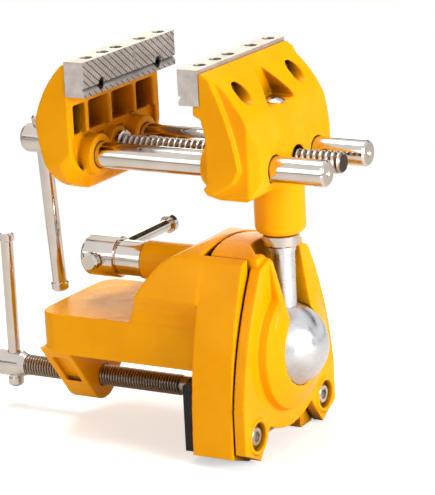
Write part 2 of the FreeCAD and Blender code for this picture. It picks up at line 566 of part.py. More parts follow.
def make_fixed_jaw():
    jaw = Piece("fixed_jaw")
    seat, half, top = dim("plate_thick") - dim("fixed_grip"), dim("casting_half"), dim("casting_top")
    shelf, out, curve = dim("jaw_top") - dim("plate_height"), dim("outer_face"), dim("outer_curve")
    ledge = seat - dim("ledge_reach")
    jaw.pad("XZ", -half, half, [
        (ledge, shelf - dim("running_gap")), (ledge, dim("ledge_low")), (seat, dim("neck_low")),
        (seat + 1.7, dim("neck_low") - 8), (seat + 1.7, dim("skirt_high") + 3),
        (seat - 1, dim("skirt_high")), (seat, dim("skirt_low")),
        (seat + 5.5, dim("fixed_bottom")), (out - 7, dim("fixed_bottom")), (out - 3.5, dim("skirt_low")),
        (out, dim("skirt_low") + 7), (out, dim("outer_high"), curve), (seat + 3.5, top - 1.4),
        (seat + 1.6, top), (seat, top), (seat, shelf - dim("running_gap"))])
    start, taper = dim("taper_start"), dim("taper_half")
    edge = [(start, half), (out, taper), (out + 20, taper), (out + 20, half + 5), (start, half + 5)]
    low_half, round_top = dim("fixed_low_half"), dim("fixed_round_top")
    corner = [(low_half, dim("fixed_bottom") - 1), (half + 5, dim("fixed_bottom") - 1),
              (half + 5, round_top), (half, round_top, -dim("fixed_round"))]
    for side, foot in ((edge, corner), (flipped(edge), mirrored(corner))):
        jaw.pocket("XY", dim("fixed_bottom") - 1, FAR, side)
        jaw.pocket("YZ", -FAR, FAR, foot)
    recess = half - dim("side_recess")
    for side in (-1, 1):
        jaw.pocket("XZ", side * recess, side * (half + 1), [
            (seat + 3, dim("skirt_low") + 0.8), (out + 9, dim("skirt_low") + 0.8), (out + 9, top + 2),
            (-dim("bead_top"), top + 2), (-dim("bead_top"), top - 1, -dim("bead_curve")),
            (dim("bead_low"), dim("bead_low_height")), (dim("bead_low") - 3.6, dim("bead_low_height") - 6)])
    strip = dim("strip_half")
    jaw.pad("XZ", -strip, strip, [
        (ZERO, dim("skirt_low") + 6), (out + 0.8, dim("skirt_low") + 8),
        (out + 0.8, dim("outer_high"), dim("outer_curve")), (2.5, dim("notch_floor") + 2),
        (ZERO, dim("notch_floor") + 2)])
    rods = [(side * dim("rod_half"), dim("rod_height")) for side in (-1, 1)]
    jaw.round_pad("YZ", -dim("rod_boss_reach"), seat + 4, rods, dim("rod_boss_radius"))
    post, low, rounding = dim("post_radius"), dim("post_height"), dim("post_round")
    jaw.turn("V", [(ZERO, low), (post - rounding, low, rounding), (post, low + rounding),
                   (post, dim("rod_height")), (ZERO, dim("rod_height"))])
    jaw.round_pocket("XY", low - 1, tenon_top + dim("free_gap"), [(ZERO, ZERO)],
                     dim("stem_spigot") + dim("running_gap"))
    jaw.round_pocket("YZ", -FAR, FAR, rods, dim("rod_radius") + dim("slide_gap"))
    lead = [(ZERO, dim("rod_height"))]
    jaw.round_pocket("YZ", -FAR, dim("nut_front"), lead, dim("nut_radius"))
    jaw.round_pocket("YZ", 0, FAR, lead, dim("lead_exit"))
    notch, floor = dim("notch_half"), dim("notch_floor")
    jaw.pocket("YZ", -dim("notch_back"), FAR, [
        (-notch, floor), (notch, floor), (notch - 1, floor + 3), (ZERO, dim("notch_peak")),
        (1 - notch, floor + 3)])
    jaw.round_pocket("XY", dim("rod_height"), FAR, [(ZERO, ZERO)], dim("nut_bolt_radius"))
    for side in (-1, 1):
        place, height = side * dim("plate_screw_half"), dim("groove_height")
        scoop = dim("scoop_radius")
        jaw.pocket("YZ", -dim("fixed_screw_seat"), FAR, [
            (place - scoop, height - dim("scoop_drop"), scoop),
            (place + scoop, height - dim("scoop_drop")), (place + scoop, height, scoop),
            (place - scoop, height)])
        jaw.round_pocket("YZ", -FAR, FAR, [(place, height)], dim("plate_screw_radius") + 0.2)


def make_lead_nut():
    nut = Piece("lead_nut", (0, 0, dim("rod_height")))
    axis = [(ZERO, dim("rod_height"))]
    back, front = -dim("nut_back"), dim("nut_front")
    nut.round_pad("YZ", back, front, axis, dim("nut_radius"))
    nut.round_pocket("YZ", back, front, axis, dim("lead_radius") + dim("running_gap"))
    hole_low = dim("rod_height") + dim("lead_radius") + 0.8
    nut.round_pocket("XY", hole_low, FAR, [(ZERO, ZERO)], dim("nut_bolt_radius"))
    bolt = Piece("nut_bolt")
    seat, shank, head = dim("notch_floor"), dim("nut_bolt_radius"), dim("nut_bolt_head")
    thick = dim("nut_bolt_head_thick")
    bolt.turn("V", [
        (ZERO, hole_low), (shank - 0.5, hole_low), (shank, hole_low + 0.5), (shank, seat),
        (head, seat), (head, seat + 0.6, arc_radius(head, thick - 0.6) * 1.02), (ZERO, seat + thick)])
    for across, along in ((0.55, 2.6), (2.6, 0.55)):
        corners = box(-size(across), size(across), -size(along), size(along))
        bolt.pocket("XY", seat + thick - 1.6, seat + thick + 1, corners)


def make_plate(name, grip, facing, seat_screws):
    """A jaw plate whose grip face stands at grip and looks along facing (1 or -1) on X."""
    top, half = dim("jaw_top"), dim("jaw_half")
    low, back = top - dim("plate_height"), grip - facing * dim("plate_thick")
    plate = Piece(name)
    plate.pad("YZ", back, grip, box(-half, half, low, top))
    deep = dim("groove_depth")
    height, across, bottom = dim("groove_height"), dim("groove_place"), grip - facing * deep
    groove = [(grip, height - deep * 1.5), (grip, height + dim("groove_lip")), (bottom, height)]
    narrow = dim("upright_half")
    upright = [(grip, across - narrow), (grip, across + narrow), (bottom, across)]
    if facing < 0:
        groove, upright = groove[::-1], upright[::-1]
    plate.pocket("XZ", -half - 1, half + 1, groove)
    plate.pocket("XY", low - 1, top + 1, upright)
    for peg in PEG_PLACES:
        middle = [(grip - facing * dim("plate_thick") / 2, dim(peg))]
        plate.round_pocket("XY", top - dim("peg_depth"), top, middle, dim("peg_radius"))
    screws = [(side * dim("plate_screw_half"), height) for side in (-1, 1)]
    start, stop = (back - facing, grip + facing) if seat_screws else (back - facing, grip - facing)
    plate.round_pocket("YZ", start, stop, screws, dim("plate_screw_radius") + (0.2 if seat_screws else 0))
    if seat_screws:
        for screw in screws:
            plate.cone_pocket(grip, grip - facing * dim("countersink"), screw,
                              dim("sink_head_radius") + 0.2, dim("plate_screw_radius") + 0.2)


def make_plate_screws():
    height, shank = dim("groove_height"), dim("plate_screw_radius")
    for side, word in ((-1, "near"), (1, "far")):
        place = side * dim("plate_screw_half")
        screw = Piece(f"fixed_plate_screw_{word}", (0, place, height))
        seat, head = -dim("fixed_screw_seat"), dim("plate_head_radius")
        end, top = -dim("fixed_grip") + 2, seat + dim("plate_head_thick")
        screw.turn("H", [
            (end, height), (top, height), (top, height + head - 0.5), (top - 0.5, height + head),
            (seat, height + head), (seat, height + shank), (end + 0.6, height + shank),
            (end, height + shank - 0.6)])
        screw.hexagon("YZ", top - 2, top, size(3))
        screw = Piece(f"moving_plate_screw_{word}", (0, place, height))
        grip, end = -dim("moving_grip") - 0.6, -dim("moving_screw_end")
        sink, head = -dim("moving_grip") - dim("countersink"), dim("sink_head_radius")
        screw.turn("H", [
            (end, height), (grip, height), (grip, height + head - 0.5), (sink, height + shank),
            (end + 0.6, height + shank), (end, height + shank - 0.6)])
        screw.hexagon("YZ", grip - 1.6, grip, size(2.6))


def make_moving_jaw():
    jaw = Piece("moving_jaw")
    front, half, top = -dim("moving_front"), dim("casting_half"), dim("casting_top")
    seat, back = -dim("moving_grip") - dim("plate_thick"), -dim("moving_back")
    shelf, low = dim("jaw_top") - dim("plate_height") - dim("running_gap"), dim("moving_bottom")
    waist, toe = -dim("moving_waist"), -dim("moving_toe")
    jaw.pad("XZ", -half, half, [
        (toe, low), (front - 1.5, low), (front, low + 1.5), (front, shelf), (seat, shelf), (seat, top),
        (seat - 1.8, top, dim("moving_curve")), (back, dim("moving_back_high")),
        (back + 1, dim("moving_back_high") - 9), (waist, dim("moving_waist_height"))])
    corners = []
    for drop in (ZERO, dim("shield_drop")):
        high, foot = dim("shield_high") - drop, dim("shield_low") - drop
        corners.append([(dim("shield_half"), low - 1), (half + 5, low - 1), (half + 5, high),
                        (half, high, -dim("shield_curve")), (dim("shield_half"), foot)])
    face, deeper = corners
    behind = front - dim("shield_bevel")
    for shallow, side in ((face, deeper), (mirrored(face), mirrored(deeper))):
        jaw.pocket("YZ", -FAR, behind, side)
        jaw.loft_pocket("YZ", front, behind, shallow, side)
    lower_high = dim("rod_height") + dim("lower_pocket_rise")
    lower_low = dim("rod_height") - dim("lower_pocket_fall")
    shelf_top = lower_high + dim("shelf_thick")
    edges = [dim("wall") - half] + [dim(rib) for rib in RIB_PLACES] + [half - dim("wall")]
    rib = dim("rib_thick") / 2
    for index in range(len(edges) - 1):
        left = edges[index] + (rib if index else ZERO)
        right = edges[index + 1] - (rib if index < len(edges) - 2 else ZERO)
        jaw.pocket("YZ", front - dim("pocket_depth"), front,
                   box(left, right, shelf_top, dim("pocket_high")))
    rim = dim("lower_rim")
    bottom, core = front - dim("lower_pocket_depth"), dim("lower_pocket_core")
    lower, wide, bend = dim("shield_half") - rim, half - rim, dim("shield_curve") - rim
    jaw.pocket("YZ", front - dim("lower_pocket_shallow"), front, [
        (-lower, lower_low), (lower, lower_low), (lower, dim("shield_low") + 0.6, bend),
        (wide, dim("shield_high")), (wide, shelf_top + 0.5), (-wide, shelf_top + 0.5),
        (-wide, dim("shield_high"), bend), (-lower, dim("shield_low") + 0.6)])
    jaw.pocket("YZ", bottom, front, box(-core, core, lower_low, lower_high))
    rods = [(side * dim("rod_half"), dim("rod_height")) for side in (-1, 1)]
    jaw.round_pad("YZ", bottom - 1, front + dim("moving_boss_reach"), rods, dim("moving_boss_radius"))
    lead = [(ZERO, dim("rod_height"))]
    collar_face = -dim("lead_collar_place") - dim("slide_gap")
    jaw.round_pad("YZ", -dim("back_boss_end"), collar_face, lead, dim("back_boss_radius"))
    jaw.round_pocket("YZ", -dim("rod_start"), FAR, rods, dim("rod_radius"))
    jaw.round_pocket("YZ", -FAR, FAR, lead, dim("lead_radius") + dim("slide_gap"))
    screws = [(side * dim("plate_screw_half"), dim("groove_height")) for side in (-1, 1)]
    jaw.round_pocket("YZ", -dim("moving_screw_end"), FAR, screws, dim("plate_screw_radius"))


def make_guide_rods():
    for side, word in ((-1, "near"), (1, "far")):
        rod = Piece(f"guide_rod_{word}", (0, side * dim("rod_half"), dim("rod_height")))
        axis, radius, bevel = dim("rod_height"), dim("rod_radius"), dim("rod_chamfer")
        start, end, mark = -dim("rod_start"), dim("rod_end"), dim("rod_mark")
        rod.turn("H", [
            (start, axis), (end - mark, axis), (end, axis + mark), (end, axis + radius - bevel),
            (end - bevel, axis + radius), (start + bevel, axis + radius),
            (start, axis + radius - bevel)])


def make_bar(name, centre, plane, axis, low, high, radius, cap, lean=ZERO, hub=(1, 0, 0)):
    """A sliding handle bar with a pressed-on cap at each end."""
    length, round_end = dim("cap_length"), size(1)
    across, up, normal = PLANES[plane]
    places = dict(zip("xyz", [size(place) for place in centre]))
    middle, other = (places[across], places[up]) if axis == "H" else (places[up], places[across])

    def spin(piece, profile):
        corners = [(middle + along, other + out) for along, out in profile]
        if axis == "V":
            corners = [(up, across) for across, up in reversed(corners)]
        piece.turn(axis, corners, plane)

    bar = Piece(name, centre, hub, lean)
    spin(bar, [(-low + 1.2, ZERO), (high - 1.2, ZERO), (high - 1.2, radius), (-low + 1.2, radius)])
    for word, end, way in (("low", -low, 1), ("high", high, -1)):
        profile = [(end, ZERO), (end + way * 1.2, ZERO), (end + way * 1.2, radius),
                   (end + way * length, radius), (end + way * length, cap - 0.5),
                   (end + way * (length - 0.5), cap), (end + way * round_end, cap),
                   (end, cap - round_end)]
        if way < 0:
            profile = profile[::-1]
        spin(Piece(f"{name}_cap_{word}", centre, hub, lean), profile if way > 0 else profile)


def make_lead_screw():
    height, lean = dim("rod_height"), dim("main_bar_lean")
    place = (-dim("main_bar_place"), ZERO, height)
    lead = Piece("lead_screw", place, (1, 0, 0), lean)
    screw, hub, far = dim("lead_radius"), dim("lead_hub_radius"), -dim("lead_hub_end")
    near, end = -dim("lead_hub_start"), dim("lead_end")
    lead.turn("H", [
        (far, height), (end - 1, height), (end, height + 1), (end, height + screw - 1.2),
        (end - 1.2, height + screw), (near, height + screw), (near, height + hub - 0.5),
        (near - 0.5, height + hub), (far + hub * 0.36, height + hub, hub / 2),
        (far, height + hub / 2)])
    lead.round_pocket("XY", height - hub * 3, height + hub * 3, [(place[0], ZERO)],
                      dim("main_bar_radius") + dim("slide_gap"))
    collar = Piece("lead_collar", (0, 0, height))
    back = -dim("lead_collar_place")
    front, rim = back + dim("lead_collar_thick"), dim("lead_collar_radius")
    collar.turn("H", [(back, height + screw), (front, height + screw), (front, height + rim - 0.5),
                      (front - 0.5, height + rim), (back, height + rim)])
    make_bar("main_bar", place, "XZ", "V", dim("main_bar_low"), dim("main_bar_high"),
             dim("main_bar_radius"), dim("main_cap_radius"), lean)


def make_clamp_screw():
    low = -dim("clamp_height")
    place = (-dim("clamp_bar_place"), ZERO, low)
    clamp = Piece("clamp_screw", place)
    screw, hub, nose = dim("clamp_radius"), dim("clamp_hub_radius"), dim("clamp_nose_radius")
    far, near = -dim("clamp_hub_end"), -dim("clamp_hub_start")
    face = -dim("clamp_end") - dim("clamp_tip_length")
    clamp.turn("H", [
        (far, low), (face + 2.8, low), (face + 2.8, low + nose), (face - dim("slide_gap"), low + nose),
        (face - dim("slide_gap"), low + screw - 1), (face - 1.2, low + screw),
        (near + 3, low + screw), (near, low + hub), (far + 1, low + hub), (far, low + hub - 1)])
    reach = dim("clamp_hub_radius") * 3
    clamp.round_pocket("XY", low - reach, low + reach, [(place[0], ZERO)],
                       dim("clamp_bar_radius") + dim("slide_gap"))
    tip = Piece("clamp_tip", (0, 0, low))
    end, rim, hole = -dim("clamp_end"), dim("clamp_tip_radius"), nose + dim("running_gap")
    tip.turn("H", [
        (face + 3, low), (end, low), (end, low + rim - 0.6), (end - 0.6, low + rim),
        (face, low + rim), (face, low + hole), (face + 3, low + hole)])
    make_bar("clamp_bar", place, "XZ", "V", dim("clamp_bar_low"), dim("clamp_bar_high"),
             dim("clamp_bar_radius"), dim("clamp_cap_radius"))


def make_lock_screw():
    high = dim("lock_height")
    place = (-dim("lock_bar_place"), ZERO, high)
    lock = Piece("lock_screw", place)
    screw, hub, neck = dim("lock_radius"), dim("lock_hub_radius"), dim("lock_neck_radius")
    far, shoulder, end = -dim("lock_hub_end"), -dim("lock_neck_start"), -dim("lock_end")
    face = -dim("boss_end") - dim("lock_washer_thick") - dim("running_gap") * 2
    lock.turn("H", [
        (far, high), (end, high), (end, high + screw - 1), (end - 1, high + screw),
        (face, high + screw), (face, high + neck), (shoulder, high + neck),
        (shoulder, high + hub - 0.6), (shoulder - 0.6, high + hub), (far + 3, high + hub, hub / 2),
        (far, high + hub - 5)])
    lock.round_pocket("XZ", -dim("lock_hub_radius") * 2, dim("lock_hub_radius") * 2, [(place[0], high)],
                      dim("lock_bar_radius") + dim("lock_hole_play"))
    washer = Piece("lock_washer", (0, 0, high))
    back = face + dim("running_gap")
    washer.turn("H", [(back, high + screw + 0.1), (back + dim("lock_washer_thick"), high + screw + 0.1),
                      (back + dim("lock_washer_thick"), high + dim("lock_washer_radius")),
                      (back, high + dim("lock_washer_radius"))])
    make_bar("lock_bar", place, "YZ", "H", dim("lock_bar_low"), dim("lock_bar_high"),
             dim("lock_bar_radius"), dim("lock_cap_radius"))


def check_and_write():
    """Stop if anything failed, then write one file for each piece."""
    doc.recompute()
    for thing in doc.Objects:
        if "Invalid" in thing.State or "Error" in thing.State:
            raise RuntimeError(f"{thing.Name} failed: {thing.State}")
    os.makedirs("parts", exist_ok=True)
    for body in pieces:
        shape = body.Shape
        if shape.isNull() or not shape.isValid() or not shape.Solids:
            raise RuntimeError(f"{body.Label} is not a valid solid")
        shape.exportStep(f"parts/{body.Label}.step")
        print(body.Label, len(shape.Solids), round(shape.Volume, 1))


make_base_casting()
make_bench_pad()
make_cover_screws()
make_ball_cover()
make_ball_seat()
make_ball_and_stem()
make_fixed_jaw()
make_lead_nut()
make_plate("fixed_jaw_plate", -dim("fixed_grip"), -1, False)
make_plate("moving_jaw_plate", -dim("moving_grip"), 1, True)
make_plate_screws()
make_moving_jaw()
make_guide_rods()
make_lead_screw()
make_clamp_screw()
make_lock_screw()
check_and_write()
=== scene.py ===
import json
import math

import bmesh
import bpy
from mathutils import Matrix, Vector

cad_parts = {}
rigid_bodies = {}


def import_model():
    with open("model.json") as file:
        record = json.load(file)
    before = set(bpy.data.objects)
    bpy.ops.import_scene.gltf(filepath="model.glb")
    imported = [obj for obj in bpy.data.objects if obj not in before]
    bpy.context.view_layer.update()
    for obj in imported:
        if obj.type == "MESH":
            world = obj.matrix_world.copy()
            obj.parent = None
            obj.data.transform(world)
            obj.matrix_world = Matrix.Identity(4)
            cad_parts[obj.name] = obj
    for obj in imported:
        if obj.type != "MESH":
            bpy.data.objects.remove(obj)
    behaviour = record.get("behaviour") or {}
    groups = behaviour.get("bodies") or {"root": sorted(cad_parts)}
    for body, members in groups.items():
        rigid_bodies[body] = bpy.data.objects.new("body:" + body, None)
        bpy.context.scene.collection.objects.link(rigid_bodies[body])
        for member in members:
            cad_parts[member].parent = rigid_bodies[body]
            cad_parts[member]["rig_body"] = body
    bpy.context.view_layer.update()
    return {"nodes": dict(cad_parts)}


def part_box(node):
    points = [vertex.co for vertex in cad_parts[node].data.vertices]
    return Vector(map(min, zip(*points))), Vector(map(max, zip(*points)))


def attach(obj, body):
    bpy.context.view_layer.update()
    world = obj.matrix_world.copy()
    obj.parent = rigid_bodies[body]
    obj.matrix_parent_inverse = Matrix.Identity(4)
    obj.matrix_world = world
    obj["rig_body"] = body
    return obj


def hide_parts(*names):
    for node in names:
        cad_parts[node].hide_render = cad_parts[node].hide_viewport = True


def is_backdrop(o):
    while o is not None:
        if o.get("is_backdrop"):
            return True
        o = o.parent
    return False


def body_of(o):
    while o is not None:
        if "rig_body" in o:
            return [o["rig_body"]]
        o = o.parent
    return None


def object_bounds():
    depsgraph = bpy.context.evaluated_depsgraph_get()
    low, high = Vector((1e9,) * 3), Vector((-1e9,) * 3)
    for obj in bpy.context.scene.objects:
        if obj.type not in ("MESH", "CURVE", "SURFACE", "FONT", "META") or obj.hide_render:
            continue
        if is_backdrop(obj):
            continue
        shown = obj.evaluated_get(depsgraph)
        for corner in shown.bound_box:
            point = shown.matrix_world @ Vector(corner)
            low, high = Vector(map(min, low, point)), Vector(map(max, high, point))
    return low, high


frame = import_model()

bl_info = {
    "name": "Ball vise",
    "version": (1, 0, 0),
    "blender": (4, 5, 0),
    "location": "3D View > Sidebar > Ball vise",
    "description": "Dresses a clamp-on ball vise with enamel, chrome, threads and hatched jaw plates",
    "category": "Object",
}

CASTINGS = ("base_casting", "ball_cover", "fixed_jaw", "moving_jaw")
BRIGHT_BARS = ("guide_rod_near", "guide_rod_far", "lead_collar", "stem_collar", "lock_washer")
HANDLES = tuple(f"{bar}_bar{part}" for bar in ("main", "clamp", "lock")
                for part in ("", "_cap_low", "_cap_high"))
PLATES = ("fixed_jaw_plate", "moving_jaw_plate")
PLATED_SCREWS = ("cover_screw_near", "cover_screw_far", "fixed_plate_screw_near",
                 "fixed_plate_screw_far", "nut_bolt")
DARK_SCREWS = ("moving_plate_screw_near", "moving_plate_screw_far")
MM = 0.001


def linear(text):
    """Turn an sRGB hex colour into a linear RGBA colour."""
    parts = [int(text[place:place + 2], 16) / 255 for place in (1, 3, 5)]
    return tuple(c / 12.92 if c <= 0.04045 else ((c + 0.055) / 1.055) ** 2.4 for c in parts) + (1,)


def add(tree, kind, settings=(), links=()):
    """Add one node to a tree, with its settings and the links that come into it."""
    node = tree.nodes.new(kind)
    for name, value in dict(settings).items():
        if isinstance(name, int) or name in node.inputs:
            node.inputs[name].default_value = value
        else:
            setattr(node, name, value)
    for name, source in dict(links).items():
        tree.links.new(source, node.inputs[name])
    return node


def surface(name, settings):
    """Start a material and return it with its tree and its shader."""
    material = bpy.data.materials.new(name)
    material.use_nodes = True
    tree = material.node_tree
    shader = tree.nodes["Principled BSDF"]
    for socket, value in settings.items():
        shader.inputs[socket].default_value = value
    return material, tree, shader


def mottle(tree, first, last, size, detail=4, stretch=(1, 1, 1), low=0.35, high=0.65):
    """Blend two values or colours by a noise whose patches are size metres across."""
    place = add(tree, "ShaderNodeTexCoord")
    spread = add(tree, "ShaderNodeMapping", {"Scale": stretch}, {"Vector": place.outputs["Object"]})
    noise = add(tree, "ShaderNodeTexNoise", {"Scale": 1 / size, "Detail": detail},
                {"Vector": spread.outputs[0]})
    colour = not isinstance(first, float)
    ramp = add(tree, "ShaderNodeMapRange", {"From Min": low, "From Max": high},
               {"Value": noise.outputs["Fac"]})
    if colour:
        mix = add(tree, "ShaderNodeMix", {"data_type": "RGBA"})
        mix.inputs[6].default_value, mix.inputs[7].default_value = first, last
        tree.links.new(ramp.outputs[0], mix.inputs[0])
        return mix.outputs[2]
    ramp.inputs["To Min"].default_value, ramp.inputs["To Max"].default_value = first, last
    return ramp.outputs[0]


def relief(tree, shader, height, depth, under=None):
    """Send a height, scaled to depth metres, to the shader's normal, over an earlier bump."""
    bump = add(tree, "ShaderNodeBump", {"Distance": depth, "Strength": 1.0}, {"Height": height})
    if under is not None:
        tree.links.new(under.outputs[0], bump.inputs["Normal"])
    tree.links.new(bump.outputs[0], shader.inputs["Normal"])
    return bump


def stripes(tree, across, spacing, turn):
    """Return a 0 to 0.5 wave that repeats every spacing metres along one line of a plane."""
    place = add(tree, "ShaderNodeTexCoord")
    apart = add(tree, "ShaderNodeSeparateXYZ", {}, {0: place.outputs["Object"]})
    first = add(tree, "ShaderNodeMath", {"operation": "MULTIPLY", 1: math.cos(turn) / spacing},
                {0: apart.outputs[across[0]]})
    last = add(tree, "ShaderNodeMath", {"operation": "MULTIPLY", 1: math.sin(turn) / spacing},
               {0: apart.outputs[across[1]]})
    both = add(tree, "ShaderNodeMath", {"operation": "ADD"}, {0: first.outputs[0], 1: last.outputs[0]})
    wave = add(tree, "ShaderNodeMath", {"operation": "PINGPONG", 1: 0.5}, {0: both.outputs[0]})
    return wave.outputs[0]


def make_enamel(colours):
    # Stove enamel over a sand casting: a soft shine with a thin clear coat, a faint orange-peel ripple,
    # and the slow unevenness of the cast skin under it.
    material, tree, shader = surface("Stove enamel over sand casting", {
        "Roughness": 0.34, "Specular IOR Level": 0.07, "Coat Weight": 0.04, "Coat Roughness": 0.08})
    colour = mottle(tree, linear(colours.enamel_light), linear(colours.enamel_deep), 26 * MM)
    # painted shade: the colour darkens to deep brown in the corners and the bottoms of the pockets, by how
    # closed in each point is
    open_sky = add(tree, "ShaderNodeAmbientOcclusion", {"samples": 8, "Distance": 16 * MM})
    painted_shade_amount = add(tree, "ShaderNodeMapRange", {"From Min": 0.14, "From Max": 0.6},
                    {"Value": open_sky.outputs["AO"]})
    painted_shade_mix = add(tree, "ShaderNodeMix", {"data_type": "RGBA"}, {0: painted_shade_amount.outputs[0], 7: colour})
    # the deep brown of the painted shade
    painted_shade_mix.inputs[6].default_value = linear("#2E1600")
    tree.links.new(painted_shade_mix.outputs[2], shader.inputs["Base Color"])
    rough = mottle(tree, 0.25, 0.36, 7 * MM)
    tree.links.new(rough, shader.inputs["Roughness"])
    skin = relief(tree, shader, mottle(tree, 0.0, 1.0, 9 * MM, 2, low=0.2, high=0.8), 0.16 * MM)
    relief(tree, shader, mottle(tree, 0.0, 1.0, 1.6 * MM, 2, low=0.2, high=0.8), 0.012 * MM, under=skin)
    return material


def make_chrome(name, tint, rough, marks, spacing):
    # Hard chrome plate on turned steel: a mirror with fine turning rings and faint smears.
    material, tree, shader = surface(name, {"Metallic": 1.0, "Roughness": rough})
    dim = tuple(part * 0.9 for part in linear(tint)[:3]) + (1,)
    tree.links.new(mottle(tree, linear(tint), dim, 12 * MM), shader.inputs["Base Color"])
    tree.links.new(mottle(tree, rough * 0.75, rough * 1.3, 4 * MM, stretch=(0.3, 1, 1)),
                   shader.inputs["Roughness"])
    relief(tree, shader, mottle(tree, 0.0, 1.0, spacing, 3, stretch=marks), 0.004 * MM)
    return material


def make_ground_steel(grip, low, high):
    # Surface-ground tool steel: pale, with fine lengthwise grinding lines. The grip face is hatched
    # both ways and has one upright groove, and painted shade darkens the holes and grooves.
    groove_place, groove_half, groove_edge = 4 * MM, 0.6 * MM, 0.85 * MM
    hatch_depth, face_depth = 0.35 * MM, 0.06 * MM
    material, tree, shader = surface("Ground tool steel with milled hatching", {"Metallic": 0.85})
    base = mottle(tree, linear("#D9D2CD"), linear("#C2BAB4"), 5 * MM, 5, stretch=(1, 0.25, 1))
    wide = stripes(tree, (1, 2), 2.75 * MM, math.radians(53.5))
    fine = stripes(tree, (1, 2), 1.5 * MM, math.radians(-50))
    cut = add(tree, "ShaderNodeMapRange", {"From Min": 0.04, "From Max": 0.11}, {"Value": wide})
    scratch = add(tree, "ShaderNodeMapRange", {"From Min": 0.05, "From Max": 0.2, "To Min": 0.5},
                  {"Value": fine})
    pattern = add(tree, "ShaderNodeMath", {"operation": "MINIMUM"},
                  {0: cut.outputs[0], 1: scratch.outputs[0]})
    place = add(tree, "ShaderNodeTexCoord")
    apart = add(tree, "ShaderNodeSeparateXYZ", {}, {0: place.outputs["Object"]})
    groove = add(tree, "ShaderNodeMath", {"operation": "SUBTRACT", 1: groove_place},
                 {0: apart.outputs[1]})
    groove = add(tree, "ShaderNodeMath", {"operation": "ABSOLUTE"}, {0: groove.outputs[0]})
    lip = add(tree, "ShaderNodeMapRange", {"From Min": groove_half, "From Max": groove_edge},
              {"Value": groove.outputs[0]})
    pattern = add(tree, "ShaderNodeMath", {"operation": "MINIMUM"},
                  {0: pattern.outputs[0], 1: lip.outputs[0]})
    depth = add(tree, "ShaderNodeMath", {"operation": "SUBTRACT", 1: grip}, {0: apart.outputs[0]})
    depth = add(tree, "ShaderNodeMath", {"operation": "ABSOLUTE"}, {0: depth.outputs[0]})
    on_face = add(tree, "ShaderNodeMath", {"operation": "LESS_THAN", 1: face_depth},
                  {0: depth.outputs[0]})
    shown = add(tree, "ShaderNodeMix", {"data_type": "FLOAT"},
                {0: on_face.outputs[0], 3: pattern.outputs[0]})
    shown.inputs[2].default_value = 1.0
    dark = add(tree, "ShaderNodeMix", {"data_type": "RGBA"}, {0: shown.outputs[0], 7: base})
    dark.inputs[6].default_value = linear("#3A3432")
    deep = None
    for axis in range(3):
        off = add(tree, "ShaderNodeMath", {"operation": "SUBTRACT", 1: (low[axis] + high[axis]) / 2},
                  {0: apart.outputs[axis]})
        off = add(tree, "ShaderNodeMath", {"operation": "ABSOLUTE"}, {0: off.outputs[0]})
        off = add(tree, "ShaderNodeMath", {"operation": "SUBTRACT", 0: (high[axis] - low[axis]) / 2},
                  {1: off.outputs[0]})
        if deep is not None:
            off = add(tree, "ShaderNodeMath", {"operation": "MINIMUM"}, {0: off.outputs[0], 1: deep})
        deep = off.outputs[0]
    # painted shade: the colour goes to near black the deeper a point lies inside the plate, in holes and
    # groove bottoms
    shade = add(tree, "ShaderNodeMapRange", {"From Min": 0.3 * MM, "From Max": 1.5 * MM, "To Max": 0.92},
                {"Value": deep})
    painted_hole_shade = add(tree, "ShaderNodeMix", {"data_type": "RGBA"}, {0: shade.outputs[0], 6: dark.outputs[2]})
    painted_hole_shade.inputs[7].default_value = linear("#1C1816")
    tree.links.new(painted_hole_shade.outputs[2], shader.inputs["Base Color"])
    tree.links.new(mottle(tree, 0.34, 0.5, 1.2 * MM, 3, stretch=(1, 0.2, 1)), shader.inputs["Roughness"])
    ground = relief(tree, shader, mottle(tree, 0.0, 1.0, 0.9 * MM, 3, stretch=(1, 0.08, 1)), 0.01 * MM)
    relief(tree, shader, shown.outputs[0], hatch_depth, under=ground)
    return material


def make_thread_steel(name, crest, root, rough, height, radius, depth):
    # Rolled thread on the X line at this height: a painted highlight on the crests and painted shade in
    # the roots, graded by distance from the axis.
    material, tree, shader = surface(name, {"Metallic": 1.0})
    place = add(tree, "ShaderNodeTexCoord")
    around = add(tree, "ShaderNodeVectorMath", {"operation": "SUBTRACT", 1: (0, 0, height)},
                 {0: place.outputs["Object"]})
    across = add(tree, "ShaderNodeVectorMath", {"operation": "MULTIPLY", 1: (0, 1, 1)},
                 {0: around.outputs[0]})
    reach = add(tree, "ShaderNodeVectorMath", {"operation": "LENGTH"}, {0: across.outputs[0]})
    # painted light and shade: pale at the crests, dark in the roots
    painted_crest_light = add(tree, "ShaderNodeMapRange", {"From Min": radius - depth, "From Max": radius},
               {"Value": reach.outputs["Value"]})
    painted_thread_shading = add(tree, "ShaderNodeMix", {"data_type": "RGBA"}, {0: painted_crest_light.outputs[0]})
    painted_thread_shading.inputs[6].default_value, painted_thread_shading.inputs[7].default_value = linear(root), linear(crest)
    tree.links.new(painted_thread_shading.outputs[2], shader.inputs["Base Color"])
    tree.links.new(mottle(tree, rough * 0.8, rough * 1.3, 1.5 * MM), shader.inputs["Roughness"])
    relief(tree, shader, mottle(tree, 0.0, 1.0, 0.7 * MM, 3), 0.01 * MM)
    return material


def make_rubber():
    # Moulded rubber: dull black with a fine grain.
    material, tree, shader = surface("Moulded nitrile rubber", {"Specular IOR Level": 0.35})
    tree.links.new(mottle(tree, linear("#100F0F"), linear("#181717"), 8 * MM), shader.inputs["Base Color"])
    tree.links.new(mottle(tree, 0.6, 0.8, 2 * MM), shader.inputs["Roughness"])
    relief(tree, shader, mottle(tree, 0.0, 1.0, 0.8 * MM, 3), 0.05 * MM)
    return material


